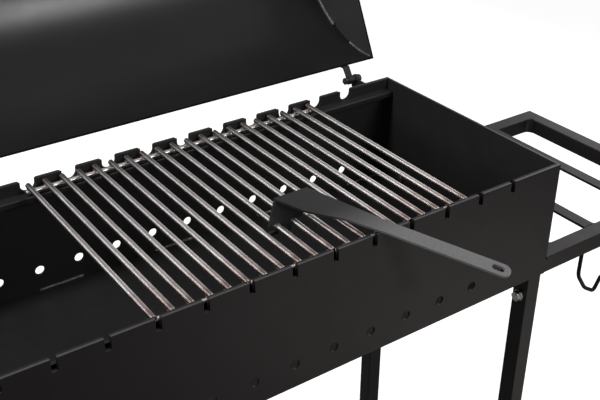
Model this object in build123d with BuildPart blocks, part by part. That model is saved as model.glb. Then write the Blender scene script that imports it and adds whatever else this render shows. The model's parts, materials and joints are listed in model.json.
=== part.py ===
from build123d import *
import os
from math import atan2, cos, degrees, radians, sin, sqrt

# Skewer grill: a sheet-steel charcoal trough on square-tube legs, with a hinged barrel-arc lid,
# a lift-out rod grate, a side shelf and a grate lifter. Millimetres, +Z up, floor at Z = 0,
# front towards -Y. The origin is on the floor under the middle of the whole grill.

# Driving dimensions
box_length = 995.0
box_depth = 350.0
box_height = 168.0
rim_height = 850.0
sheet = 3.0
shelf_reach = 336.0
tube = 25.0
tube_wall = 2.0

# Slots, notches and vent holes share one pitch along the walls
slot_pitch = 55.0
slot_count = 16
end_margin = 85.0
slot_width = 7.0
notch_width = 20.0
notch_depth = 15.5
notch_corner = 3.0
vent_diameter = 13.0
vent_drop = 135.0

# Rails that carry the grate
rail_sheet = 2.5
rail_gap = 0.5
rail_end_gap = 0.5
rail_nose = 19.0
rail_lip = 8.0
ledge_drop = 16.3

# Grate
rod_diameter = 7.0
cross_rod_diameter = 8.0
rod_count = 20
rod_pitch = 22.275
first_rod = 581.5
rod_top_drop = 1.0
rod_front_gap = 7.5
rod_rear_gap = 9.5
rod_end_chamfer = 0.4
weld_gap = 0.02
cross_rod_inset = 14.0
cross_rod_overhang = 5.0

# Lid, drawn in its closed attitude: u runs forwards from the rear edge, v runs up
lid_rise = 114.0
lid_sheet = 2.5
lid_open = 116.0
hinge_back = 22.0
lid_edge_behind = 35.0
lid_edge_above = 18.6

# Bolts, nuts and washers
bolt_m6 = 6.0
flats_m6 = 10.0
head_m6 = 4.0
nut_m6 = 5.0
washer_m6 = 12.0
bolt_m8 = 8.0
flats_m8 = 13.0
nut_m8 = 6.5
washer_m8 = 16.0
washer_sheet = 1.4
washer_clearance = 0.2
pin_clearance = 0.08
hole_clearance = 0.15
thread_clearance = 0.01

# Hinges: sizes, then where each piece of the stack starts, measured in from the end wall
strap_thickness = 3.2
strap_width = 10.5
strap_leg = 34.0
ear_sheet = 4.0
ear_width = 14.0
ear_drop = 26.0
ear_root = 6.0
ear_heel_drop = 14.0
hinge_head_at = 37.0
hinge_ear_at = 43.0
hinge_washers_at = (41.3, 47.3)
hinge_strap_at = 50.0
hinge_nut_at = 61.0
hinge_bolt_end = 68.0

# Lid handle
handle_diameter = 12.0
handle_length = 260.0
handle_standoff = 42.0
handle_angle = 34.0
handle_bend = 16.0

# Legs
tube_corner = 2.0
leg_inset = 3.0
leg_setback = 2.0
stub_side = 20.6
stub_length = 60.0
leg_bolt_drop = 33.5
leg_bolt_reach = 9.0
plug_flange = 3.0
plug_lap = 1.0
plug_corner = 3.0
plug_spigot = 16.0
plug_clearance = 0.1
brace_height = 110.0

# Shelf
shelf_drop = 143.0
slat_sheet = 4.0
slat_width = 18.5
slat_places = (105.5, 214.5)
shelf_bolt_inset = 48.0
shelf_bolt_reach = 11.0
dome_diameter = 15.0
dome_height = 4.5
dome_edge = 3.5

# Hooks: the wire's path is drawn as X from the hole and Z from the underside of the tube
wire = 5.8
hook_hole_clearance = 0.3
hook_places = (93.0, 168.0, 243.0)
hook_head = 10.0
hook_head_height = 2.5
hook_seat_gap = 0.2
hook_path = [(0.0, -47.0), (20.0, -76.0), (42.5, -90.5), (54.5, -68.5)]
hook_bends = [28.0, 35.0, 5.5]

# Grate lifter: the blade is drawn along its own slope, the head as X and Z from the rod it hangs on
lifter_sheet = 3.0
lifter_slope = 18.78
lifter_heading = 37.7
lifter_end = 83.0
lifter_corner = 339.0
lifter_rise = 38.5
lifter_reach = 248.0
lifter_overhang = 111.41
lifter_handle_width = 19.0
lifter_head_width = 46.5
lifter_slot_inset = 15.0
lifter_slot_length = 15.0
lifter_slot_width = 8.5
lifter_bend = 2.6
lifter_handle_offset = 2.0
blade_outline = [
    (100.0, 4.0),
    (lifter_reach, lifter_handle_offset),
    (lifter_reach, lifter_handle_offset + lifter_handle_width),
    (102.0, 22.7),
    (52.0, 26.5),
    (9.0, 37.0),
]
head_outline = [
    (39.0, 11.5),
    (31.3, 4.5),
    (17.3, 4.5),
    (17.3, -8.5),
    (-13.0, -8.5),
    (-13.0, -4.2),
    (5.3, -4.2),
    (5.3, 4.5),
    (-13.0, 4.5),
]

# Places worked out from the driving dimensions
lid_radius = ((box_depth / 2) ** 2 + lid_rise ** 2) / (2 * lid_rise)
lid_centre_v = lid_rise - lid_radius
lid_tilt = 180.0 - lid_open


def lid_direction(u, v):
    """Y and Z parts of a lid direction once the lid stands open."""
    c = cos(radians(lid_tilt))
    s = sin(radians(lid_tilt))
    return c * u + s * v, s * u - c * v


handle_radius = lid_radius + handle_standoff
handle_u = box_depth / 2 + handle_radius * cos(radians(handle_angle))
handle_v = lid_centre_v + handle_radius * sin(radians(handle_angle))
rearmost = box_depth + lid_edge_behind + lid_direction(handle_u, handle_v)[0] + handle_diameter / 2
front_y = (lifter_overhang - rearmost) / 2
right_x = (box_length - shelf_reach) / 2
left_x = right_x - box_length
back_y = front_y + box_depth
floor_z = rim_height - box_height
mid_y = front_y + box_depth / 2
pivot_y = back_y + hinge_back
pivot_z = rim_height
lid_edge_y = back_y + lid_edge_behind
lid_edge_z = rim_height + lid_edge_above
shelf_top = rim_height - shelf_drop
shelf_right = right_x + shelf_reach
slot_xs = [right_x - end_margin - slot_pitch * k for k in range(slot_count)]
vent_z = rim_height - vent_drop
shelf_bolt_ys = [front_y + shelf_bolt_inset, back_y - shelf_bolt_inset]


def save(piece, label):
    piece.part.label = label
    export_step(piece.part, f"parts/{label}.step")


def lid_plane(x):
    """Sketch plane across the open lid: its x is u, its y is v, and it faces -X."""
    along_y, along_z = lid_direction(1, 0)
    return Plane(origin=(x, lid_edge_y, lid_edge_z), x_dir=(0, along_y, along_z), z_dir=(-1, 0, 0))


def cross_plane(x):
    """Sketch plane across the grill: its x is +Y, its y is +Z, and it faces +X."""
    return Plane(origin=(x, 0, 0), x_dir=(0, 1, 0), z_dir=(1, 0, 0))


def wall_plane(y):
    """Sketch plane along a long wall: its x is +X, its y is +Z, and it faces -Y."""
    return Plane(origin=(0, y, 0), x_dir=(1, 0, 0), z_dir=(0, -1, 0))


os.makedirs("parts", exist_ok=True)


# Firebox walls

def front_wall():
    with BuildPart() as wall:
        with BuildSketch(wall_plane(front_y + sheet)):
            with Locations(((left_x + right_x) / 2, rim_height - box_height / 2)):
                Rectangle(box_length, box_height)
            with Locations(*[(x, rim_height) for x in slot_xs]):
                Rectangle(slot_width, 2 * notch_depth, mode=Mode.SUBTRACT)
            with Locations(*[(x, vent_z) for x in slot_xs]):
                Circle(vent_diameter / 2, mode=Mode.SUBTRACT)
        extrude(amount=sheet)
    save(wall, "front_wall")


def notch_row():
    """Skewer notches with round bottoms and eased mouths, cut from the current sketch."""
    radius = notch_width / 2
    for x in slot_xs:
        with Locations((x, rim_height)):
            Rectangle(notch_width, 2 * (notch_depth - radius), mode=Mode.SUBTRACT)
        with Locations((x, rim_height - notch_depth + radius)):
            Circle(radius, mode=Mode.SUBTRACT)


def rear_wall():
    with BuildPart() as wall:
        with BuildSketch(wall_plane(back_y)) as outline:
            with Locations(((left_x + right_x) / 2, rim_height - box_height / 2)):
                Rectangle(box_length, box_height)
            notch_row()
            inner_tops = [v for v in outline.vertices() if abs(v.Y - rim_height) < 1]
            inner_tops = [v for v in inner_tops if left_x + 1 < v.X < right_x - 1]
            fillet(inner_tops, notch_corner)
            with Locations(*[(x, vent_z) for x in slot_xs]):
                Circle(vent_diameter / 2, mode=Mode.SUBTRACT)
        extrude(amount=sheet)
    save(wall, "rear_wall")


def end_wall(label, outer_x, inwards):
    """End sheet between the long walls; the right one takes the shelf bolts."""
    with BuildPart() as wall:
        with BuildSketch(cross_plane(min(outer_x, outer_x + inwards * sheet))):
            with Locations((mid_y, rim_height - box_height / 2)):
                Rectangle(box_depth - 2 * sheet, box_height)
            if inwards < 0:
                with Locations(*[(y, shelf_top - tube / 2) for y in shelf_bolt_ys]):
                    Circle(bolt_m8 / 2 + pin_clearance, mode=Mode.SUBTRACT)
        extrude(amount=sheet)
    save(wall, label)


def floor_pan():
    with BuildPart() as pan:
        with BuildSketch(Plane.XY.offset(floor_z)):
            with Locations(((left_x + right_x) / 2, mid_y)):
                Rectangle(box_length - 2 * sheet, box_depth - 2 * sheet)
        extrude(amount=sheet)
    save(pan, "floor_pan")


# Grate rails

def rail_points(face_y, inwards):
    """Corners of the bent sheet: upstand, ledge and down-turned lip."""
    nose = rail_nose - sheet - rail_gap
    corners = [
        (0, 0),
        (0, ledge_drop + rail_sheet),
        (nose - rail_sheet, ledge_drop + rail_sheet),
        (nose - rail_sheet, ledge_drop + rail_lip),
        (nose, ledge_drop + rail_lip),
        (nose, ledge_drop),
        (rail_sheet, ledge_drop),
        (rail_sheet, 0),
    ]
    return [(face_y + inwards * reach, rim_height - drop) for reach, drop in corners]


def rail(label, face_y, inwards, notched):
    length = box_length - 2 * sheet - 2 * rail_end_gap
    start_x = left_x + sheet + rail_end_gap
    with BuildPart() as piece:
        with BuildSketch(cross_plane(start_x)):
            with BuildLine():
                Polyline(*rail_points(face_y, inwards), close=True)
            make_face()
        extrude(amount=length)
        nose_y = face_y + inwards * (rail_nose - sheet - rail_gap)
        long_edges = piece.edges().filter_by(Axis.X)
        nose = [e for e in long_edges if abs(e.center().Y - nose_y) < 0.01]
        fillet(nose[-1:] if nose[-1].center().Z > nose[0].center().Z else nose[:1], rail_sheet - 0.3)
        start_y = face_y if inwards < 0 else face_y + rail_sheet
        with BuildSketch(wall_plane(start_y)):
            if notched:
                with Locations(*[(x, rim_height - notch_depth + notch_width / 2) for x in slot_xs]):
                    Circle(notch_width / 2)
                with Locations(*[(x, rim_height) for x in slot_xs]):
                    Rectangle(notch_width, 2 * (notch_depth - notch_width / 2))
            else:
                with Locations(*[(x, rim_height) for x in slot_xs]):
                    Rectangle(slot_width, 2 * notch_depth)
        extrude(amount=rail_sheet, mode=Mode.SUBTRACT)
    save(piece, label)


# Grate

rod_xs = [right_x - first_rod + rod_pitch * k for k in range(rod_count)]
rod_z = rim_height - rod_top_drop - rod_diameter / 2
cross_rod_z = rod_z - rod_diameter / 2 - cross_rod_diameter / 2 - weld_gap


def grate_rods():
    with BuildPart() as rods:
        with BuildSketch(wall_plane(back_y - rod_rear_gap)):
            with Locations(*[(x, rod_z) for x in rod_xs]):
                Circle(rod_diameter / 2)
        extrude(amount=box_depth - rod_front_gap - rod_rear_gap)
        chamfer(rods.edges().filter_by(GeomType.CIRCLE), rod_end_chamfer)
    save(rods, "grate_rods")


def grate_cross_rods():
    length = rod_xs[-1] - rod_xs[0] + 2 * cross_rod_overhang
    with BuildPart() as rods:
        with BuildSketch(cross_plane(rod_xs[0] - cross_rod_overhang)):
            places = [front_y + cross_rod_inset, back_y - cross_rod_inset]
            with Locations(*[(y, cross_rod_z) for y in places]):
                Circle(cross_rod_diameter / 2)
        extrude(amount=length)
        chamfer(rods.edges().filter_by(GeomType.CIRCLE), rod_end_chamfer)
    save(rods, "grate_cross_rods")


# Lid

def lid_arc(radius):
    """Arc about the lid's centre, from the rear edge over the crown to the front edge."""
    mid = box_depth / 2
    half = sqrt(radius ** 2 - lid_centre_v ** 2)
    return ThreePointArc((mid - half, 0), (mid, lid_centre_v + radius), (mid + half, 0))


def lid_shell():
    with BuildPart() as shell:
        with BuildSketch(lid_plane(right_x)):
            with BuildLine():
                outer = lid_arc(lid_radius)
                inner = lid_arc(lid_radius - lid_sheet)
                Line(outer @ 0, inner @ 0)
                Line(outer @ 1, inner @ 1)
            make_face()
        extrude(amount=box_length)
    save(shell, "lid_shell")


def lid_end(label, x):
    with BuildPart() as plate:
        with BuildSketch(lid_plane(x)):
            with BuildLine():
                rim = lid_arc(lid_radius - lid_sheet)
                Line(rim @ 0, rim @ 1)
            make_face()
        extrude(amount=sheet)
    save(plate, label)


def lid_handle():
    """Round bar bent into a grip, its two feet welded square to the shell."""
    mid_x = (left_x + right_x) / 2
    foot_y, foot_z = lid_direction(cos(radians(handle_angle)), sin(radians(handle_angle)))
    centre_y, centre_z = lid_direction(box_depth / 2, lid_centre_v)
    origin = (mid_x, lid_edge_y + centre_y, lid_edge_z + centre_z)
    grip = Plane(origin=origin, x_dir=(1, 0, 0), z_dir=(0, -foot_z, foot_y))
    half = handle_length / 2
    with BuildPart() as handle:
        with BuildLine(grip):
            FilletPolyline(
                (-half, lid_radius),
                (-half, handle_radius),
                (half, handle_radius),
                (half, lid_radius),
                radius=handle_bend,
            )
        foot_origin = grip.from_local_coords(Vector(-half, lid_radius, 0))
        with BuildSketch(Plane(origin=foot_origin, z_dir=(0, foot_y, foot_z))):
            Circle(handle_diameter / 2)
        sweep()
    save(handle, "lid_handle")


# Hinges

hinge_sides = [(right_x, -1, "right"), (left_x, 1, "left")]
eye_radius = bolt_m6 / 2 + pin_clearance + strap_thickness


def inset(side_x, inwards, start, length):
    """Lowest X of a stretch of the hinge that starts a distance in from an end wall."""
    return min(side_x + inwards * start, side_x + inwards * (start + length))


def pivot_in_lid():
    """The hinge axis in the lid's own u and v."""
    dy = pivot_y - lid_edge_y
    dz = pivot_z - lid_edge_z
    c, s = lid_direction(1, 0)
    return dy * c + dz * s, dy * s - dz * c


def strap_outline():
    """Corners of the strap: from the eye to the lid's rear edge, then up the outside of the shell."""
    edge_up = atan2(-lid_centre_v, -box_depth / 2) - radians(90)
    out_u = -strap_thickness * sin(edge_up)
    out_v = strap_thickness * cos(edge_up)
    top_u = strap_leg * cos(edge_up)
    top_v = strap_leg * sin(edge_up)
    pivot_u, pivot_v = pivot_in_lid()
    return [
        (pivot_u, pivot_v + strap_thickness / 2),
        (out_u, out_v),
        (out_u + top_u, out_v + top_v),
        (top_u - 1.5 * out_u, top_v - 1.5 * out_v),
        (-1.5 * out_u, -1.5 * out_v),
        (pivot_u, pivot_v - strap_thickness / 2),
    ]


def hinge_strap(label, x):
    with BuildPart() as strap:
        with BuildSketch(lid_plane(x)):
            with Locations(pivot_in_lid()):
                Circle(eye_radius)
            with BuildLine():
                Polyline(*strap_outline(), close=True)
            make_face()
            with Locations((box_depth / 2, lid_centre_v)):
                Circle(lid_radius + weld_gap, mode=Mode.SUBTRACT)
            with Locations(pivot_in_lid()):
                Circle(bolt_m6 / 2 + pin_clearance, mode=Mode.SUBTRACT)
        extrude(amount=strap_width)
    save(strap, label)


def hinge_ear(label, x):
    """Plate welded to the rear wall, with a round lug for the bolt."""
    heel_y = pivot_y + ear_width / 2
    with BuildPart() as ear:
        with BuildSketch(cross_plane(x)):
            with BuildLine():
                Polyline(
                    (back_y, rim_height),
                    (heel_y, rim_height),
                    (heel_y, rim_height - ear_heel_drop),
                    (back_y + ear_root, rim_height - ear_drop),
                    (back_y, rim_height - ear_drop),
                    close=True,
                )
            make_face()
            with Locations((pivot_y, pivot_z)):
                Circle(ear_width / 2)
                Circle(bolt_m6 / 2 + pin_clearance, mode=Mode.SUBTRACT)
        extrude(amount=ear_sheet)
    save(ear, label)


def hinge_bolts():
    """Bolts on the lid's axis, head towards the end wall."""
    shank = hinge_bolt_end - hinge_head_at - head_m6
    with BuildPart() as bolts:
        for side_x, inwards, _ in hinge_sides:
            with BuildSketch(cross_plane(inset(side_x, inwards, hinge_head_at + head_m6, shank))):
                with Locations((pivot_y, pivot_z)):
                    Circle(bolt_m6 / 2)
            extrude(amount=shank)
            with BuildSketch(cross_plane(inset(side_x, inwards, hinge_head_at, head_m6))):
                with Locations((pivot_y, pivot_z)):
                    RegularPolygon(flats_m6 / 2, 6, major_radius=False)
            extrude(amount=head_m6)
    save(bolts, "hinge_bolts")


def hinge_nuts():
    with BuildPart() as nuts:
        for side_x, inwards, _ in hinge_sides:
            with BuildSketch(cross_plane(inset(side_x, inwards, hinge_nut_at, nut_m6))):
                with Locations((pivot_y, pivot_z)):
                    RegularPolygon(flats_m6 / 2, 6, major_radius=False, rotation=30)
                    Circle(bolt_m6 / 2 + thread_clearance, mode=Mode.SUBTRACT)
            extrude(amount=nut_m6)
    save(nuts, "hinge_nuts")


def hinge_washers():
    with BuildPart() as washers:
        for side_x, inwards, _ in hinge_sides:
            for place in hinge_washers_at:
                with BuildSketch(cross_plane(inset(side_x, inwards, place, washer_sheet))):
                    with Locations((pivot_y, pivot_z)):
                        Circle(washer_m6 / 2)
                        Circle(bolt_m6 / 2 + washer_clearance, mode=Mode.SUBTRACT)
                extrude(amount=washer_sheet)
    save(washers, "hinge_washers")


# Legs

leg_xs = {"right": right_x - leg_inset - tube / 2, "left": left_x + leg_inset + tube / 2}
leg_ys = {"front": front_y + leg_setback + tube / 2, "rear": back_y - leg_setback - tube / 2}
leg_bolt_z = floor_z - leg_bolt_drop


def square_tube(side, wall):
    """Square tube section with eased corners, drawn at the current location."""
    RectangleRounded(side, side, tube_corner)
    Rectangle(side - 2 * wall, side - 2 * wall, mode=Mode.SUBTRACT)


def bolt_hole(diameter, x, y, z):
    """Clearance hole along X through a tube centred at the given place."""
    with Locations(Location((x, y, z), (0, 90, 0))):
        Cylinder(diameter / 2 + hole_clearance, 2 * tube, mode=Mode.SUBTRACT)


def leg(label, x, y):
    with BuildPart() as post:
        with BuildSketch(Plane.XY.offset(plug_flange)):
            with Locations((x, y)):
                square_tube(tube, tube_wall)
        extrude(amount=floor_z - plug_flange)
        bolt_hole(bolt_m8, x, y, leg_bolt_z)
    save(post, label)


def leg_stubs():
    """Short tubes welded under the floor that the legs slip over."""
    with BuildPart() as stubs:
        with BuildSketch(Plane.XY.offset(floor_z - stub_length)):
            with Locations(*[(x, y) for x in leg_xs.values() for y in leg_ys.values()]):
                Rectangle(stub_side, stub_side)
                Rectangle(stub_side - 2 * tube_wall, stub_side - 2 * tube_wall, mode=Mode.SUBTRACT)
        extrude(amount=stub_length)
        for x in leg_xs.values():
            for y in leg_ys.values():
                bolt_hole(bolt_m8, x, y, leg_bolt_z)
    save(stubs, "leg_stubs")


def leg_bolts():
    """Cross bolts, head on the outer side of each leg and thread towards the middle."""
    head_height = leg_inset
    with BuildPart() as bolts:
        for side, x in leg_xs.items():
            outwards = 1 if side == "right" else -1
            tip = x - outwards * (tube / 2 + leg_bolt_reach)
            head = x + outwards * tube / 2
            for y in leg_ys.values():
                with BuildSketch(cross_plane(min(tip, head))):
                    with Locations((y, leg_bolt_z)):
                        Circle(bolt_m8 / 2)
                extrude(amount=abs(head - tip))
                with BuildSketch(cross_plane(min(head, head + outwards * head_height))):
                    with Locations((y, leg_bolt_z)):
                        RegularPolygon(flats_m8 / 2, 6, major_radius=False)
                extrude(amount=head_height)
    save(bolts, "leg_bolts")


def leg_nuts():
    with BuildPart() as nuts:
        for side, x in leg_xs.items():
            inwards = -1 if side == "right" else 1
            face = x + inwards * (tube / 2 + washer_sheet + 2 * thread_clearance)
            for y in leg_ys.values():
                with BuildSketch(cross_plane(min(face, face + inwards * nut_m8))):
                    with Locations((y, leg_bolt_z)):
                        RegularPolygon(flats_m8 / 2, 6, major_radius=False)
                        Circle(bolt_m8 / 2 + thread_clearance, mode=Mode.SUBTRACT)
                extrude(amount=nut_m8)
    save(nuts, "leg_nuts")


def leg_washers():
    with BuildPart() as washers:
        for side, x in leg_xs.items():
            inwards = -1 if side == "right" else 1
            face = x + inwards * tube / 2
            for y in leg_ys.values():
                with BuildSketch(cross_plane(min(face, face + inwards * washer_sheet))):
                    with Locations((y, leg_bolt_z)):
                        Circle(washer_m8 / 2)
                        Circle(bolt_m8 / 2 + washer_clearance, mode=Mode.SUBTRACT)
                extrude(amount=washer_sheet)
    save(washers, "leg_washers")


def foot_plug(label, x, y):
    """Moulded plug: a flange that meets the floor and a spigot inside the tube."""
    bore = tube - 2 * tube_wall
    with BuildPart() as plug:
        with BuildSketch(Plane.XY):
            with Locations((x, y)):
                RectangleRounded(tube + plug_lap, tube + plug_lap, plug_corner)
        extrude(amount=plug_flange)
        with BuildSketch(Plane.XY.offset(plug_flange)):
            with Locations((x, y)):
                Rectangle(bore - plug_clearance, bore - plug_clearance)
        extrude(amount=plug_spigot)
    save(plug, label)


def end_brace(label, x):
    """Low tube that ties the front leg to the rear leg."""
    start = leg_ys["front"] + tube / 2
    with BuildPart() as brace:
        with BuildSketch(wall_plane(start)):
            with Locations((x, brace_height)):
                square_tube(stub_side, tube_wall)
        extrude(amount=-(leg_ys["rear"] - leg_ys["front"] - tube))
    save(brace, label)


# Side shelf

def mitre(x, y, outwards):
    """Cutting plane through a shelf corner at 45 degrees, facing away from the long tube."""
    return Plane(origin=(x, y, 0), z_dir=(1, outwards, 0))


def shelf_long_tube(label, y, outwards, hooked):
    """Tube from the end wall to a mitred outer corner."""
    with BuildPart() as rail_tube:
        with BuildSketch(cross_plane(right_x)):
            with Locations((y, shelf_top - tube / 2)):
                square_tube(tube, tube_wall)
        extrude(amount=shelf_reach)
        split(bisect_by=mitre(shelf_right, y + outwards * tube / 2, -outwards), keep=Keep.BOTTOM)
        if hooked:
            with BuildSketch(Plane.XY.offset(shelf_top - tube)):
                with Locations(*[(right_x + x, y) for x in hook_places]):
                    Circle(wire / 2 + hook_hole_clearance)
            extrude(amount=tube_wall, mode=Mode.SUBTRACT)
    save(rail_tube, label)


def shelf_outer_tube():
    with BuildPart() as bar:
        with BuildSketch(wall_plane(front_y)):
            with Locations((shelf_right - tube / 2, shelf_top - tube / 2)):
                square_tube(tube, tube_wall)
        extrude(amount=-box_depth)
        split(bisect_by=mitre(shelf_right, front_y, 1), keep=Keep.TOP)
        split(bisect_by=mitre(shelf_right, back_y, -1), keep=Keep.TOP)
    save(bar, "shelf_outer_tube")


def shelf_inner_tube():
    with BuildPart() as bar:
        with BuildSketch(wall_plane(front_y + tube)):
            with Locations((right_x + tube / 2, shelf_top - tube / 2)):
                square_tube(tube, tube_wall)
        extrude(amount=-(box_depth - 2 * tube))
        for y in shelf_bolt_ys:
            bolt_hole(bolt_m8, right_x + tube / 2, y, shelf_top - tube / 2)
    save(bar, "shelf_inner_tube")


def shelf_slat(label, x):
    with BuildPart() as slat:
        with BuildSketch(Plane.XY.offset(shelf_top - slat_sheet)):
            with Locations((right_x + x + slat_width / 2, mid_y)):
                Rectangle(slat_width, box_depth - 2 * tube)
        extrude(amount=slat_sheet)
    save(slat, label)


def shelf_bolts():
    """Bolts with domed heads inside the firebox, through the end wall and the inner tube."""
    with BuildPart() as bolts:
        for y in shelf_bolt_ys:
            with BuildSketch(cross_plane(right_x - sheet)):
                with Locations((y, shelf_top - tube / 2)):
                    Circle(bolt_m8 / 2)
            extrude(amount=sheet + tube + shelf_bolt_reach)
            with BuildSketch(cross_plane(right_x - sheet)):
                with Locations((y, shelf_top - tube / 2)):
                    Circle(dome_diameter / 2)
            extrude(amount=-dome_height)
        crowns = bolts.edges().filter_by(GeomType.CIRCLE).group_by(Axis.X)[0]
        fillet(crowns, dome_edge)
    save(bolts, "shelf_bolts")


def shelf_nuts():
    face = right_x + tube + washer_sheet + 2 * thread_clearance
    with BuildPart() as nuts:
        for y in shelf_bolt_ys:
            with BuildSketch(cross_plane(face)):
                with Locations((y, shelf_top - tube / 2)):
                    RegularPolygon(flats_m8 / 2, 6, major_radius=False)
                    Circle(bolt_m8 / 2 + thread_clearance, mode=Mode.SUBTRACT)
            extrude(amount=nut_m8)
    save(nuts, "shelf_nuts")


def shelf_washers():
    with BuildPart() as washers:
        for y in shelf_bolt_ys:
            with BuildSketch(cross_plane(right_x + tube)):
                with Locations((y, shelf_top - tube / 2)):
                    Circle(washer_m8 / 2)
                    Circle(bolt_m8 / 2 + washer_clearance, mode=Mode.SUBTRACT)
            extrude(amount=washer_sheet)
    save(washers, "shelf_washers")


def hook(label, offset):
    """Bent wire that hangs by its head through a hole under the front tube."""
    x = right_x + offset
    y = front_y + tube / 2
    under = shelf_top - tube
    seat = under + tube_wall + hook_seat_gap
    path = [(0.0, seat)] + [(reach, under + drop) for reach, drop in hook_path]
    with BuildPart() as wire_hook:
        with BuildLine(Plane(origin=(x, y, 0), x_dir=(1, 0, 0), z_dir=(0, -1, 0))):
            FilletPolyline(*path, radius=hook_bends)
        with BuildSketch(Plane(origin=(x, y, seat))):
            Circle(wire / 2)
        sweep()
        with BuildSketch(Plane(origin=(x, y, seat))):
            Circle(hook_head / 2)
        extrude(amount=hook_head_height)
    save(wire_hook, label)


# Grate lifter

lifter_y = front_y + lifter_end
lifter_top = rod_z + lifter_rise
held_rod = rod_xs[9]


def lifter_plane():
    """Top face of the blade: x runs along the handle, and the sheet lies on its +Z side, below."""
    slope = radians(lifter_slope)
    heading = radians(lifter_heading)
    forward = Vector(sin(heading), -cos(heading) * cos(slope), -cos(heading) * sin(slope))
    down = Vector(0, sin(slope), -cos(slope))
    return Plane(origin=(right_x - lifter_corner, lifter_y, lifter_top), x_dir=forward, z_dir=down)


def grate_lifter():
    """Sheet blade with a bent head whose tooth and finger catch one rod."""
    head_right = right_x - lifter_corner
    head_left = head_right - lifter_head_width
    middle = lifter_handle_offset + lifter_handle_width / 2
    left_corner = lifter_plane().to_local_coords(Vector(head_left, lifter_y, lifter_top))
    lower = [(held_rod + x, rod_z + z) for x, z in head_outline]
    with BuildPart() as lifter:
        with BuildSketch(lifter_plane()) as blade:
            with BuildLine():
                Polyline((0, 0), *blade_outline, (left_corner.X, left_corner.Y), close=True)
            make_face()
            tip = blade.vertices().group_by(Axis.X)[-1]
            fillet(tip, lifter_handle_width / 2 - 0.1)
            with Locations((lifter_reach - lifter_slot_inset, middle)):
                SlotOverall(lifter_slot_length, lifter_slot_width, mode=Mode.SUBTRACT)
        extrude(amount=lifter_sheet)
        with BuildSketch(wall_plane(lifter_y + lifter_sheet)):
            with BuildLine():
                Polyline((head_left, lifter_top), (head_right, lifter_top), *lower, close=True)
            make_face()
        extrude(amount=lifter_sheet)
        bend = lifter.edges().filter_by(Axis.X).sort_by(Axis.Z)[-1]
        fillet(bend, lifter_bend)
    save(lifter, "grate_lifter")


front_wall()
rear_wall()
end_wall("end_wall_right", right_x, -1)
end_wall("end_wall_left", left_x, 1)
floor_pan()
rail("rail_front", front_y + sheet + rail_gap, 1, False)
rail("rail_rear", back_y - sheet - rail_gap, -1, True)
grate_rods()
grate_cross_rods()
lid_shell()
lid_end("lid_end_right", right_x)
lid_end("lid_end_left", left_x + sheet)
lid_handle()
for side_x, inwards, side in hinge_sides:
    hinge_strap(f"hinge_strap_{side}", inset(side_x, inwards, hinge_strap_at, strap_width) + strap_width)
    hinge_ear(f"hinge_ear_{side}", inset(side_x, inwards, hinge_ear_at, ear_sheet))
hinge_bolts()
hinge_nuts()
hinge_washers()
for side, x in leg_xs.items():
    for end, y in leg_ys.items():
        leg(f"leg_{end}_{side}", x, y)
        foot_plug(f"foot_plug_{end}_{side}", x, y)
    end_brace(f"end_brace_{side}", x)
leg_stubs()
leg_bolts()
leg_nuts()
leg_washers()
shelf_long_tube("shelf_front_tube", front_y + tube / 2, -1, True)
shelf_long_tube("shelf_rear_tube", back_y - tube / 2, 1, False)
shelf_outer_tube()
shelf_inner_tube()
shelf_slat("shelf_slat_inner", slat_places[0])
shelf_slat("shelf_slat_outer", slat_places[1])
shelf_bolts()
shelf_nuts()
shelf_washers()
for number, place in enumerate(hook_places, start=1):
    hook(f"hook_{number}", place)
grate_lifter()
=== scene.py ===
import json
from math import asin, cos, pi, radians, sin

import bmesh
import bpy
from mathutils import Matrix, Vector, noise


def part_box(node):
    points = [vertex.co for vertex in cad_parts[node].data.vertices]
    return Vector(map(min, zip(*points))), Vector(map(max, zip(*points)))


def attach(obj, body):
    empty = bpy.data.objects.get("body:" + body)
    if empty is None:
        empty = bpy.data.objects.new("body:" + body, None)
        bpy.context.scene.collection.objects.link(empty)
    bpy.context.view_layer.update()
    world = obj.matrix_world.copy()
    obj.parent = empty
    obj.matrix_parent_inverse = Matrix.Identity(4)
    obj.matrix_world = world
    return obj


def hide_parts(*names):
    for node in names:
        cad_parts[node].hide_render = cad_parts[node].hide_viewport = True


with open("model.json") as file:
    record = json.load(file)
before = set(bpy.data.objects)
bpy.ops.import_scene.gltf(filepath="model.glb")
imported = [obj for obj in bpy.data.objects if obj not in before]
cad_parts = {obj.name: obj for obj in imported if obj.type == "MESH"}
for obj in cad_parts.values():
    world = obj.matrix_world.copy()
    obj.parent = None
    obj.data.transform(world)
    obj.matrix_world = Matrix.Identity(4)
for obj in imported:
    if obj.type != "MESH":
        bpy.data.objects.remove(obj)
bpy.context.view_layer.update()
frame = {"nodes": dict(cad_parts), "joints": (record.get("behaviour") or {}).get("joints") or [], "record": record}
scene = bpy.context.scene
MM = 0.001

# Places read from the frame
wall_low, wall_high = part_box("front_wall")
rods_low, rods_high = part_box("grate_rods")
cross_low, cross_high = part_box("grate_cross_rods")
shelf_low, shelf_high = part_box("shelf_front_tube")
lifter_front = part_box("grate_lifter")[0].y
pan_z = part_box("floor_pan")[1].z
right_x = wall_high.x
left_x = wall_low.x
front_y = wall_low.y
back_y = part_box("rear_wall")[1].y
rim_z = wall_high.z
cross_radius = (cross_high.z - cross_low.z) / 2
cross_places = (cross_low.y + cross_radius, cross_high.y - cross_radius)

# Sizes that the frame doesn't give, as they are in the CAD
sheet = 3.0 * MM
tube = 25.0 * MM
slat_sheet = 4.0 * MM
rod_radius = 3.5 * MM
rod_count = 20
lid_depth = 350.0 * MM
lid_rise = 114.0 * MM
lid_sheet = 2.5 * MM
lid_tilt = radians(64.0)
lid_edge_behind = 13.0 * MM
lid_edge_above = 18.6 * MM
lid_radius = ((lid_depth / 2) ** 2 + lid_rise ** 2) / (2 * lid_rise)
lid_inside = lid_radius - lid_sheet

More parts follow.
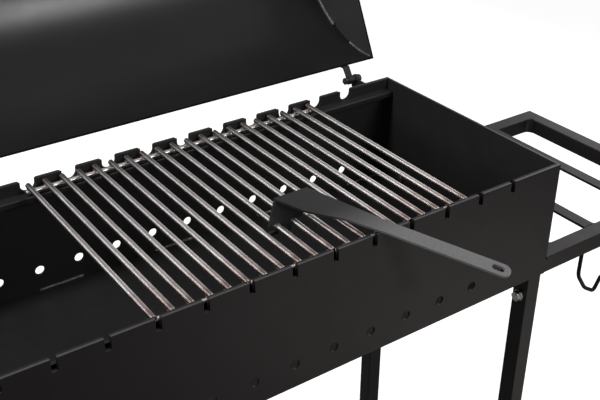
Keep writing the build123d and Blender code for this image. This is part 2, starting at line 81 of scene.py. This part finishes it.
# The open lid: the way its chord runs, the way its rim faces and the axis of its arc
hinge = next(joint for joint in frame["joints"] if joint["name"] == "lid_hinge")["pos_m"]
lid_edge = Vector((0.0, hinge[1] + lid_edge_behind, hinge[2] + lid_edge_above))
lid_along = Vector((0.0, cos(lid_tilt), sin(lid_tilt)))
lid_facing = Vector((0.0, -sin(lid_tilt), cos(lid_tilt)))
lid_axis = lid_edge + lid_along * lid_depth / 2 + lid_facing * (lid_radius - lid_rise)


# Node helpers

def shader(name):
    """A new node material, its tree and its main shader."""
    material = bpy.data.materials.new(name)
    material.use_nodes = True
    tree = material.node_tree
    return material, tree, tree.nodes["Principled BSDF"]


def node(tree, kind, **values):
    """A node of that kind, with its inputs set by name."""
    made = tree.nodes.new(kind)
    for key, value in values.items():
        made.inputs[key.replace("_", " ")].default_value = value
    return made


def coordinates(tree):
    return tree.nodes.new("ShaderNodeTexCoord").outputs["Object"]


def part_of(tree, source, letter):
    """One of a vector's three parts."""
    split = tree.nodes.new("ShaderNodeSeparateXYZ")
    tree.links.new(source, split.inputs["Vector"])
    return split.outputs[letter]


def maths(tree, operation, *values):
    """A math node's result; each value is a socket or a number."""
    made = tree.nodes.new("ShaderNodeMath")
    made.operation = operation
    for entry, value in zip(made.inputs, values):
        if isinstance(value, float):
            entry.default_value = value
        else:
            tree.links.new(value, entry)
    return made.outputs["Value"]


def span(tree, source, low, high, start=0.0, end=1.0, curve="LINEAR"):
    """A value that goes from start to end while the source goes from low to high."""
    made = node(tree, "ShaderNodeMapRange", From_Min=low, From_Max=high, To_Min=start, To_Max=end)
    made.interpolation_type = curve
    tree.links.new(source, made.inputs["Value"])
    return made.outputs["Result"]


def mixed(tree, factor, first, second, blend_type="MIX"):
    """Mix of a socket with a socket or colour; with no factor the mix is full."""
    made = tree.nodes.new("ShaderNodeMix")
    made.data_type = "RGBA"
    made.blend_type = blend_type
    if factor is None:
        made.inputs["Factor"].default_value = 1.0
    else:
        tree.links.new(factor, made.inputs["Factor"])
    tree.links.new(first, made.inputs["A"])
    if isinstance(second, tuple):
        made.inputs["B"].default_value = (*second, 1.0)
    else:
        tree.links.new(second, made.inputs["B"])
    return made.outputs["Result"]


def speckle(tree, source, scale, detail=3.0, roughness=0.55):
    """Noise between 0 and 1, the finer the higher its scale."""
    made = node(tree, "ShaderNodeTexNoise", Scale=scale, Detail=detail, Roughness=roughness)
    tree.links.new(source, made.inputs["Vector"])
    return made.outputs["Fac"]


def ramp(tree, source, *stops):
    """Colour ramp with (place, colour) stops."""
    made = tree.nodes.new("ShaderNodeValToRGB")
    tree.links.new(source, made.inputs["Fac"])
    elements = made.color_ramp.elements
    while len(elements) < len(stops):
        elements.new(0.5)
    for element, (place, colour) in zip(elements, stops):
        element.position = place
        element.color = (*colour, 1.0)
    return made.outputs["Color"]


def grey(level):
    return (level, level, level)


def grey_ramp(tree, source, low_at, low, high_at, high):
    return ramp(tree, source, (low_at, grey(low)), (high_at, grey(high)))


def bump(tree, bsdf, height, strength, distance):
    made = node(tree, "ShaderNodeBump", Strength=strength, Distance=distance)
    tree.links.new(height, made.inputs["Height"])
    tree.links.new(made.outputs["Normal"], bsdf.inputs["Normal"])


# Materials

def powder_coat(name, dark, light, rough_low, rough_high, specular, grain=900.0):
    """Baked powder coat: a fine orange peel, faint cloudiness and slightly uneven gloss."""
    material, tree, bsdf = shader(name)
    where = coordinates(tree)
    cloud = speckle(tree, where, 9.0)
    tree.links.new(ramp(tree, cloud, (0.3, dark), (0.7, light)), bsdf.inputs["Base Color"])
    gloss = speckle(tree, where, 60.0, 4.0)
    tree.links.new(grey_ramp(tree, gloss, 0.3, rough_low, 0.7, rough_high), bsdf.inputs["Roughness"])
    bsdf.inputs["Specular IOR Level"].default_value = specular
    bump(tree, bsdf, speckle(tree, where, grain, 2.0), 0.10, 0.1 * MM)
    return material


coat = powder_coat("powder_coat", (0.0125, 0.0108, 0.0105), (0.0145, 0.0128, 0.0124), 0.36, 0.42, 0.3)
lid_coat = powder_coat("lid_coat", grey(0.0125), grey(0.0150), 0.28, 0.32, 0.40)
# Lid end plates: a lighter copy of the coat, painted light standing for the light their inner faces take.
end_plate_lit_coat = powder_coat("end_plate_lit_coat", grey(0.030), grey(0.036), 0.42, 0.52, 0.25)
# Rims of the lid: a near-black coat with no gloss, painted shade that keeps these edges dark under the front
# light.
rim_shade_coat = powder_coat("rim_shade_coat", grey(0.006), grey(0.009), 0.60, 0.70, 0.0)
# Weld beads: a coat much lighter than the sheets around them, a painted highlight for the light the beads catch.
weld_highlight_coat = powder_coat("weld_highlight_coat", grey(0.050), grey(0.130), 0.22, 0.36, 0.8, 300.0)
# Wall tops: a lighter, glossier coat on the up-facing faces, a painted highlight where the sheet's top edge
# catches the light.
edge_coat = powder_coat("edge_coat", grey(0.045), grey(0.062), 0.30, 0.40, 0.5)
inner_coat = powder_coat("inner_coat", grey(0.0155), grey(0.0195), 0.42, 0.52, 0.25)
hook_paint = powder_coat("hook_paint", grey(0.003), grey(0.005), 0.3, 0.4, 0.25)
fastener_paint = powder_coat("fastener_paint", (0.016, 0.015, 0.015), (0.03, 0.028, 0.027), 0.35, 0.5, 0.5)
foot_moulding = powder_coat("foot_moulding", grey(0.008), grey(0.012), 0.5, 0.65, 0.4, 400.0)

# Painted light on the lifter, from the front end of its handle: where its dark paint starts to turn into a lighter
# grey and where the grey is full; the grey stands for the handle's front part lying out of the lid's shadow
painted_light_starts = 165.0 * MM
painted_light_full = 90.0 * MM


def handle_painted_light():
    """Mottled dark paint on the lifter with painted light: a lighter grey towards the handle's front end, standing
    for that part lying out of the lid's shadow.
    """
    material, tree, bsdf = shader("lifter_painted_light")
    where = coordinates(tree)
    along = part_of(tree, where, "Y")
    # Painted light: how much of the lighter grey, growing towards the handle's front end.
    lit_share = span(tree, along, lifter_front + painted_light_starts, lifter_front + painted_light_full, curve="SMOOTHSTEP")
    mottle = speckle(tree, where, 330.0)
    painted_light_grey = ramp(tree, mottle, (0.3, (0.125, 0.125, 0.127)), (0.7, (0.155, 0.155, 0.157)))
    dark_paint = ramp(tree, mottle, (0.3, (0.016, 0.016, 0.017)), (0.7, (0.022, 0.022, 0.023)))
    tree.links.new(mixed(tree, lit_share, dark_paint, painted_light_grey), bsdf.inputs["Base Color"])
    tree.links.new(grey_ramp(tree, mottle, 0.3, 0.40, 0.7, 0.50), bsdf.inputs["Roughness"])
    bsdf.inputs["Specular IOR Level"].default_value = 0.3
    bump(tree, bsdf, mottle, 0.10, 0.2 * MM)
    return material


def zinc_plate():
    """Bright plating, a little uneven in tone and gloss."""
    material, tree, bsdf = shader("zinc_plate")
    where = coordinates(tree)
    tone = speckle(tree, where, 350.0)
    colours = ((0.3, (0.72, 0.71, 0.68)), (0.7, (0.92, 0.91, 0.88)))
    tree.links.new(ramp(tree, tone, *colours), bsdf.inputs["Base Color"])
    tree.links.new(grey_ramp(tree, tone, 0.3, 0.16, 0.7, 0.28), bsdf.inputs["Roughness"])
    bsdf.inputs["Metallic"].default_value = 1.0
    bump(tree, bsdf, speckle(tree, where, 1500.0), 0.15, 0.1 * MM)
    return material


def scorched():
    """Weld metal gone brown and blue-grey with heat."""
    material, tree, bsdf = shader("burnt_steel")
    where = coordinates(tree)
    tone = speckle(tree, where, 420.0)
    colours = ((0.30, (0.05, 0.035, 0.03)), (0.5, (0.20, 0.12, 0.085)), (0.7, (0.45, 0.38, 0.34)))
    tree.links.new(ramp(tree, tone, *colours), bsdf.inputs["Base Color"])
    tree.links.new(grey_ramp(tree, tone, 0.3, 0.55, 0.7, 0.30), bsdf.inputs["Roughness"])
    bsdf.inputs["Metallic"].default_value = 0.8
    bump(tree, bsdf, speckle(tree, where, 1200.0), 0.2, 0.2 * MM)
    return material


# Noise scales of the drawing lines on a rod
lines_along = 14.0
lines_across = 900.0


def rod_steel(name, lengthwise):
    """Bright drawn rod with fine lines along its length, which is also its sheen's tangent."""
    material, tree, bsdf = shader(name)
    where = coordinates(tree)
    scale = [lines_along if part else lines_across for part in lengthwise]
    stretch = node(tree, "ShaderNodeMapping", Scale=scale)
    tree.links.new(where, stretch.inputs["Vector"])
    lines = speckle(tree, stretch.outputs["Vector"], 1.0, 2.0)
    tone = ramp(tree, lines, (0.3, (0.70, 0.67, 0.66)), (0.7, (0.88, 0.85, 0.84)))
    tree.links.new(tone, bsdf.inputs["Base Color"])
    tree.links.new(grey_ramp(tree, lines, 0.2, 0.34, 0.8, 0.40), bsdf.inputs["Roughness"])
    bsdf.inputs["Metallic"].default_value = 1.0
    bsdf.inputs["Anisotropic"].default_value = 0.85
    tangent = node(tree, "ShaderNodeCombineXYZ", X=lengthwise[0], Y=lengthwise[1], Z=lengthwise[2])
    tree.links.new(tangent.outputs["Vector"], bsdf.inputs["Tangent"])
    return material, tree, bsdf, where, tone


# Painted shade along a rod, from its front end to its rear end: a dimmer, pinkish front stretch and dark rear tips
# stand for its reflections going dim there, and it fades a little towards the rear
rod_painted_shade = (
    (0.0, (0.74, 0.66, 0.64)),
    (0.13, (0.78, 0.70, 0.68)),
    (0.17, (1.0, 0.97, 0.96)),
    (0.84, (0.88, 0.87, 0.87)),
    (0.90, grey(0.52)),
    (1.0, grey(0.40)),
)

# The brown over the welds: its colour, its strength, how far it wanders and where it starts and stops to fade
tint_colour = (0.15, 0.095, 0.07)
tint_most = 0.6
tint_wander = 12.0 * MM
tint_full = -4.0 * MM
tint_gone = 6.0 * MM


def weld_tint(tree, along, where):
    """Factor that is high near both cross rods and fades out unevenly about 12 mm away."""
    front, rear = [maths(tree, "ABSOLUTE", maths(tree, "SUBTRACT", along, place)) for place in cross_places]
    nearest = maths(tree, "MINIMUM", front, rear)
    uneven = maths(tree, "MULTIPLY_ADD", speckle(tree, where, 90.0), -tint_wander, nearest)
    return span(tree, uneven, tint_full, tint_gone, tint_most, 0.0)


def grate_steel():
    """Rod steel with painted shade at both ends of the grate, where its reflections go dim, and turned brown by
    heat over the welds.
    """
    material, tree, bsdf, where, tone = rod_steel("rod_steel", (0.0, 1.0, 0.0))
    along = part_of(tree, where, "Y")
    reflection_shade = ramp(tree, span(tree, along, rods_low.y, rods_high.y), *rod_painted_shade)
    shaded_tone = mixed(tree, None, tone, reflection_shade, "MULTIPLY")
    brown = mixed(tree, weld_tint(tree, along, where), shaded_tone, tint_colour)
    tree.links.new(brown, bsdf.inputs["Base Color"])
    return material


lifter_painted_light = handle_painted_light()
zinc = zinc_plate()
steel = grate_steel()
cross_steel = rod_steel("cross_steel", (1.0, 0.0, 0.0))[0]
burnt_steel = scorched()

finishes = {
    "powder_coat": coat,
    "handle_bar": coat,
    "bare_rod": steel,
    "lifter_steel": lifter_painted_light,
    "zinc": zinc,
    "dark_fastener": fastener_paint,
    "hook_wire": hook_paint,
    "foot_plastic": foot_moulding,
}
slots = {part["node"]: part["material_slot"] for part in frame["record"]["subparts"]}
bodies = {}
for body_name, members in frame["record"]["behaviour"]["bodies"].items():
    for member in members:
        bodies[member] = body_name


# Pieces

def dress(piece, material):
    """Give a piece one material; this also sets every face of its mesh to it."""
    piece.data.materials.clear()
    piece.data.materials.append(material)


def round_edges(piece, radius, edge_material=-1):
    """Ease every sharp edge; the new strips take the material of that number, or their neighbour's."""
    ease = piece.modifiers.new("ease", "BEVEL")
    ease.material = edge_material
    ease.width = radius
    ease.segments = 2
    ease.limit_method = "ANGLE"
    ease.angle_limit = radians(30.0)
    smooth = piece.modifiers.new("normals", "WEIGHTED_NORMAL")
    smooth.keep_sharp = True


def softened(name, radius, material, rim=None):
    """Eased copy of a CAD node, in its place; a rim is the way some faces look and the coat they get."""
    mesh = frame["nodes"][name].data.copy()
    piece = bpy.data.objects.new(f"{name}_eased", mesh)
    scene.collection.objects.link(piece)
    dress(piece, material)
    shape = bmesh.new()
    shape.from_mesh(mesh)
    bmesh.ops.remove_doubles(shape, verts=shape.verts, dist=0.01 * MM)
    bmesh.ops.dissolve_limit(shape, angle_limit=radians(0.5), verts=shape.verts, edges=shape.edges)
    for face in shape.faces:
        face.smooth = True
        if rim and face.normal.dot(rim[0]) > 0.98:
            face.material_index = 1
    shape.to_mesh(mesh)
    shape.free()
    if rim:
        mesh.materials.append(rim[1])
    round_edges(piece, radius)
    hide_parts(name)
    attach(piece, bodies[name])


def built(name, body, material, build, second=None):
    """A piece whose mesh a function fills in; faces that ask for it get the second material."""
    mesh = bpy.data.meshes.new(name)
    mesh.materials.append(material)
    if second:
        mesh.materials.append(second)
    shape = bmesh.new()
    build(shape)
    for face in shape.faces:
        face.smooth = True
    bmesh.ops.recalc_face_normals(shape, faces=shape.faces)
    shape.to_mesh(mesh)
    shape.free()
    piece = bpy.data.objects.new(name, mesh)
    scene.collection.objects.link(piece)
    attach(piece, body)
    return piece


# The lid's curved sheet

lid_segments = 96


def lid_point(x, turn, radius):
    """Place on the open lid's arc, the angle taken from straight back, up being positive."""
    return Vector((x, lid_axis.y + radius * cos(turn), lid_axis.z + radius * sin(turn)))


def lid_sheet_mesh(shape):
    """The lid's curved sheet on a fine arc, its two rim faces in the second material."""
    rows = []
    for radius, ends in ((lid_radius, (left_x, right_x)), (lid_inside, (right_x, left_x))):
        first = asin((lid_radius - lid_rise) / radius)
        for x in ends:
            row = []
            for k in range(lid_segments + 1):
                turn = first + (pi - 2.0 * first) * k / lid_segments
                place = lid_axis + lid_along * radius * cos(turn) - lid_facing * radius * sin(turn)
                row.append(shape.verts.new((x, place.y, place.z)))
            rows.append(row)
    for one, other in zip(rows, rows[1:] + rows[:1]):
        for k in range(lid_segments):
            shape.faces.new((one[k], one[k + 1], other[k + 1], other[k]))
    for k in (0, lid_segments):
        shape.faces.new([row[k] for row in rows]).material_index = 1


# Weld beads

ring_points = 10
ripple_pitch = 2.6 * MM
rings_per_ripple = 4
nugget_steps = 8
unlike_any_bead = Vector((0.31, 0.52, 0.79))


def add_ring(shape, centre, side, top, radius):
    """Closed ring of vertices about a centre."""
    ring = []
    for k in range(ring_points):
        turn = 2.0 * pi * k / ring_points
        ring.append(shape.verts.new(centre + side * radius * cos(turn) + top * radius * sin(turn)))
    return ring


def bridge(shape, rings):
    """Skin over a row of rings, closed at both ends."""
    for one, other in zip(rings, rings[1:]):
        for k in range(ring_points):
            after = (k + 1) % ring_points
            shape.faces.new((one[k], one[after], other[after], other[k]))
    shape.faces.new(list(reversed(rings[0])))
    shape.faces.new(rings[-1])


def bead(shape, path, size, seed):
    """Rippled weld bead along a path, its ends tapered and its sides uneven."""
    lengths = [0.0]
    for one, other in zip(path, path[1:]):
        lengths.append(lengths[-1] + (other - one).length)
    steps = max(6, int(lengths[-1] / ripple_pitch * rings_per_ripple))
    rings = []
    for step in range(steps + 1):
        place = lengths[-1] * step / steps
        part = next(k for k in range(len(path) - 1) if place <= lengths[k + 1] + 1e-9)
        fraction = (place - lengths[part]) / (lengths[part + 1] - lengths[part])
        centre = path[part].lerp(path[part + 1], fraction)
        ahead = (path[part + 1] - path[part]).normalized()
        side = ahead.cross(unlike_any_bead).normalized()
        wander = 1.0 + 0.22 * noise.noise(centre * 260.0 + Vector((seed, 0.0, 0.0)))
        ripple = 0.84 + 0.16 * abs(sin(pi * place / ripple_pitch))
        taper = min(1.0, 0.35 + 2.5 * min(step, steps - step) * lengths[-1] / steps / size / 2.0)
        rings.append(add_ring(shape, centre, side, ahead.cross(side), size * wander * ripple * taper))
    bridge(shape, rings)


def nugget(shape, centre, along, half_length, half_width):
    """Small blob of weld metal, longest in one level direction."""
    side = along.cross(Vector((0.0, 0.0, 1.0))).normalized()
    top = along.cross(side)
    rings = []
    for step in range(1, nugget_steps):
        turn = pi * step / nugget_steps
        place = centre - along * half_length * cos(turn)
        rings.append(add_ring(shape, place, side, top, half_width * sin(turn)))
    bridge(shape, rings)


# Stitches along the trough's floor, the first one counted from the right end
stitch_length = 63.0 * MM
stitch_pitch = 169.5 * MM
stitch_first = 585.0 * MM
stitch_numbers = range(-2, 4)
stitch_end_gap = 8.0 * MM
long_bead = 2.3 * MM
short_bead = 2.2 * MM
end_stitch_places = (-0.27, 0.27)

# Beads down the trough's corners: top and bottom in millimetres below the rim, and size
corner_beads = ((3.0, 6.0, 3.4 * MM), (9.5, 13.0, 2.4 * MM))


def trough_welds(shape):
    """Stitches where the floor meets the four walls, and runs down the corners."""
    floor_z = pan_z + 0.6 * MM
    for y in (back_y - sheet - 0.6 * MM, front_y + sheet + 0.6 * MM):
        for k in stitch_numbers:
            start = right_x - stitch_first + stitch_pitch * k
            end = min(start + stitch_length, right_x - stitch_end_gap)
            bead(shape, [Vector((start, y, floor_z)), Vector((end, y, floor_z))], long_bead, k + y)
    for x, inwards in ((right_x, -1.0), (left_x, 1.0)):
        for y, into in ((back_y - sheet, -1.0), (front_y + sheet, 1.0)):
            corner = Vector((x + inwards * (sheet + 0.3 * MM), y + into * 0.3 * MM, rim_z))
            for top, low, size in corner_beads:
                path = [corner - Vector((0.0, 0.0, drop * MM)) for drop in (top, low)]
                bead(shape, path, size, top + x)
        inner_x = x + inwards * (sheet + 0.5 * MM)
        for part in end_stitch_places:
            middle = (front_y + back_y) / 2 + part * (back_y - front_y)
            ends = (middle - stitch_length / 2, middle + stitch_length / 2)
            path = [Vector((inner_x, y, pan_z + 0.5 * MM)) for y in ends]
            bead(shape, path, short_bead, part)


# Stitches inside the lid: first and last angle in degrees, and size; their centres stand off by part of it
lid_stitches = (
    (-90.5, -74.5, 2.0 * MM),
    (-61.6, -40.5, 4.0 * MM),
    (-18.0, 2.0, 3.4 * MM),
    (18.0, 31.0, 3.4 * MM),
)
lid_stitch_steps = 12
lid_bead_off = 0.4


def lid_welds(shape):
    """Stitches that join both end plates to the inside of the shell."""
    for x, inwards in ((right_x - sheet, -1.0), (left_x + sheet, 1.0)):
        for start, end, size in lid_stitches:
            path = []
            for k in range(lid_stitch_steps + 1):
                turn = radians(start + (end - start) * k / lid_stitch_steps)
                away = lid_bead_off * size
                path.append(lid_point(x + inwards * away, turn, lid_inside - away))
            bead(shape, path, size, start + x)


def grate_welds(shape):
    """A nugget each side of every crossing, in the corner between the rods."""
    first_x = rods_low.x + rod_radius
    width = rods_high.x - rod_radius - first_x
    for y in cross_places:
        for k in range(rod_count):
            x = first_x + width * k / (rod_count - 1)
            for side in (-1.0, 1.0):
                lean = 1.0 + 0.3 * noise.noise(Vector((x * 40.0, y * 11.0, side * 3.0)))
                centre = Vector((x + side * 1.9 * MM, y + lean * 0.4 * MM, cross_high.z + 0.3 * MM))
                nugget(shape, centre, Vector((0.0, 1.0, 0.0)), 3.4 * MM * lean, 1.5 * MM * lean)


# Ground welds of the shelf: how far they reach along each side, and how deep they go
shelf_weld_drop = 0.4 * MM
frame_reach = 11.0 * MM
frame_depth = tube - 1.0 * MM
slat_reach = 3.5 * MM
slat_depth = slat_sheet - 2.0 * shelf_weld_drop
fillet_steps = 8


def corner_fillet(shape, corner, x_way, y_way, reach, depth):
    """Ground weld that fills an inside corner: an upright prism with a hollow round face."""
    centre = corner + Vector((x_way, y_way, 0.0)) * reach
    plan = [corner]
    for k in range(fillet_steps + 1):
        turn = pi / 2 * k / fillet_steps
        plan.append(centre - Vector((x_way * sin(turn), y_way * cos(turn), 0.0)) * reach)
    top = [shape.verts.new(place) for place in plan]
    low = [shape.verts.new(place - Vector((0.0, 0.0, depth))) for place in plan]
    for k in range(1, len(plan) - 1):
        shape.faces.new((top[0], top[k], top[k + 1]))
        shape.faces.new((low[0], low[k + 1], low[k]))
    for k in range(len(plan)):
        after = (k + 1) % len(plan)
        shape.faces.new((top[k], low[k], low[after], top[after]))


def shelf_welds(shape):
    """Ground welds in the shelf frame's corners and at both ends of its slats, and blobs at the end wall."""
    top_z = shelf_high.z - shelf_weld_drop
    for y, y_way in ((shelf_low.y + tube, 1.0), (back_y - tube, -1.0)):
        for x, x_way in ((shelf_low.x + tube, 1.0), (shelf_high.x - tube, -1.0)):
            corner_fillet(shape, Vector((x, y, top_z)), x_way, y_way, frame_reach, frame_depth)
        outer_y = y - y_way * (tube - 0.6 * MM)
        blob = Vector((shelf_low.x + 1.2 * MM, outer_y, top_z - 0.6 * MM))
        nugget(shape, blob, Vector((0.0, 1.0, 0.0)), 3.2 * MM, 1.8 * MM)
        for name in ("shelf_slat_inner", "shelf_slat_outer"):
            low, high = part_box(name)
            corner_fillet(shape, Vector((low.x, y, top_z)), -1.0, y_way, slat_reach, slat_depth)
            corner_fillet(shape, Vector((high.x, y, top_z)), 1.0, y_way, slat_reach, slat_depth)


# Dressing

for name, cad_node in frame["nodes"].items():
    dress(cad_node, finishes[slots[name]])
dress(frame["nodes"]["grate_cross_rods"], cross_steel)

# The walls' up-facing faces take the lighter top coat: a painted highlight.
top_faces = (Vector((0.0, 0.0, 1.0)), edge_coat)
for name in ("rear_wall", "end_wall_right", "end_wall_left", "floor_pan", "rail_front", "rail_rear"):
    softened(name, 0.5 * MM, inner_coat, top_faces if "wall" in name else None)
softened("front_wall", 0.5 * MM, coat, top_faces)
for name in ("hinge_ear_right", "hinge_ear_left", "hinge_strap_right", "hinge_strap_left"):
    softened(name, 0.5 * MM, coat)
# The lid's rim faces and eased edges take the near-black rim coat: painted shade.
lid_shell = built("lid_shell_sheet", "lid", lid_coat, lid_sheet_mesh, rim_shade_coat)
round_edges(lid_shell, 0.3 * MM, 1)
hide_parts("lid_shell")
for name in ("lid_end_right", "lid_end_left"):
    softened(name, 0.3 * MM, end_plate_lit_coat, (lid_facing, rim_shade_coat))
for name in ("hinge_nuts", "hinge_bolts", "shelf_nuts"):
    softened(name, 0.5 * MM, fastener_paint)
for name in ("leg_nuts", "leg_bolts"):
    softened(name, 0.4 * MM, zinc)
softened("grate_lifter", 0.6 * MM, lifter_painted_light)

built("trough_weld_beads", "firebox", weld_highlight_coat, trough_welds)
built("lid_weld_beads", "lid", weld_highlight_coat, lid_welds)
shelf_fillets = built("shelf_ground_welds", "firebox", coat, shelf_welds)
shelf_fillets.modifiers.new("normals", "WEIGHTED_NORMAL")
built("grate_weld_nuggets", "grate", burnt_steel, grate_welds)


# Stage

floor_half = 14.0


def floor():
    """Plain pale floor for the camera; it neither lights the model nor shows in its reflections."""
    material, tree, bsdf = shader("studio_floor")
    tone = speckle(tree, coordinates(tree), 3.0)
    tree.links.new(grey_ramp(tree, tone, 0.2, 0.86, 0.8, 0.90), bsdf.inputs["Base Color"])
    bsdf.inputs["Roughness"].default_value = 0.9
    bsdf.inputs["Specular IOR Level"].default_value = 0.1
    bsdf.inputs["Emission Color"].default_value = (1.0, 1.0, 1.0, 1.0)
    bsdf.inputs["Emission Strength"].default_value = 0.6
    mesh = bpy.data.meshes.new("studio_floor")
    corners = [(x * floor_half, y * floor_half, 0.0) for x, y in ((-1, -1), (1, -1), (1, 1), (-1, 1))]
    mesh.from_pydata(corners, [], [(0, 1, 2, 3)])
    piece = bpy.data.objects.new("studio_floor", mesh)
    scene.collection.objects.link(piece)
    dress(piece, material)
    piece.visible_glossy = False
    piece.visible_diffuse = False


sky_low = 0.12
sky_left = 0.22
sky_right = 0.46
sky_brightest = (0.6, 0.8, 0.0)


def sky():
    """Soft surround, dim below the horizon and brightest to the back right; the camera sees plain white."""
    world = bpy.data.worlds.new("studio")
    scene.world = world
    world.use_nodes = True
    tree = world.node_tree
    way = tree.nodes.new("ShaderNodeTexCoord").outputs["Generated"]
    sideways = tree.nodes.new("ShaderNodeVectorMath")
    sideways.operation = "DOT_PRODUCT"
    tree.links.new(way, sideways.inputs[0])
    sideways.inputs[1].default_value = sky_brightest
    above = grey_ramp(tree, sideways.outputs["Value"], 0.0, sky_left, 0.55, sky_right)
    below = node(tree, "ShaderNodeCombineColor", Red=sky_low, Green=sky_low, Blue=sky_low).outputs["Color"]
    horizon = grey_ramp(tree, part_of(tree, way, "Z"), 0.0, 0.0, 0.25, 1.0)
    around = mixed(tree, horizon, below, above)
    seen = tree.nodes.new("ShaderNodeLightPath").outputs["Is Camera Ray"]
    tree.links.new(mixed(tree, seen, around, grey(1.0)), tree.nodes["Background"].inputs["Color"])


def softbox(name, place, facing, width, height, radiance, colour=(1.0, 1.0, 1.0)):
    """Rectangular light at a place given from the middle of the trough's right rim, as bright as asked."""
    light = bpy.data.lights.new(name, "AREA")
    light.color = colour
    light.shape = "RECTANGLE"
    light.size = width
    light.size_y = height
    light.energy = radiance * pi * width * height
    lamp = bpy.data.objects.new(name, light)
    lamp.location = Vector((right_x, (front_y + back_y) / 2, rim_z)) + Vector(place)
    lamp.rotation_euler = (-Vector(facing)).to_track_quat("Z", "Y").to_euler()
    scene.collection.objects.link(lamp)


def lights():
    softbox("left_light", (-2.9, 0.2, 2.0), (0.75, 0.0, -0.66), 0.45, 2.6, 22.0)
    softbox("right_light", (2.3, 0.3, 1.7), (-1.0, 0.0, 0.0), 3.0, 3.2, 1.0)
    softbox("lid_light", (0.61, -2.3, 1.47), (-0.33, 0.84, -0.42), 0.75, 0.75, 17.0)
    softbox("front_fill", (-0.4, -4.0, 0.6), (0.0, 1.0, -0.15), 4.0, 2.0, 0.5)
    softbox("floor_bounce", (0.23, -0.8, -0.66), (-0.53, 0.62, 0.58), 0.9, 0.5, 0.5, (1.0, 0.9, 0.87))
    scene.view_settings.view_transform = "Standard"


# The camera, placed from the front right corner of the trough's rim
camera_offset = Vector((-918.7, -721.5, 586.6)) * MM
camera_yaw = radians(35.199)
camera_pitch = radians(29.841)
camera_roll = radians(0.398)
camera_lens = 58.99


def camera():
    data = bpy.data.cameras.new("camera")
    data.sensor_width = 36.0
    data.lens = camera_lens
    data.clip_start = 0.05
    data.clip_end = 100.0
    level = Vector((cos(camera_yaw), -sin(camera_yaw), 0.0))
    ahead = Vector((sin(camera_yaw), cos(camera_yaw), 0.0))
    forward = cos(camera_pitch) * ahead - sin(camera_pitch) * Vector((0.0, 0.0, 1.0))
    over = level.cross(forward)
    side = cos(camera_roll) * level + sin(camera_roll) * over
    top = -sin(camera_roll) * level + cos(camera_roll) * over
    holder = bpy.data.objects.new("camera", data)
    holder.rotation_mode = "QUATERNION"
    holder.rotation_quaternion = Matrix((side, top, -forward)).transposed().to_quaternion()
    holder.location = Vector((right_x, front_y, rim_z)) + camera_offset
    scene.collection.objects.link(holder)
    scene.camera = holder


floor()
sky()
lights()
camera()
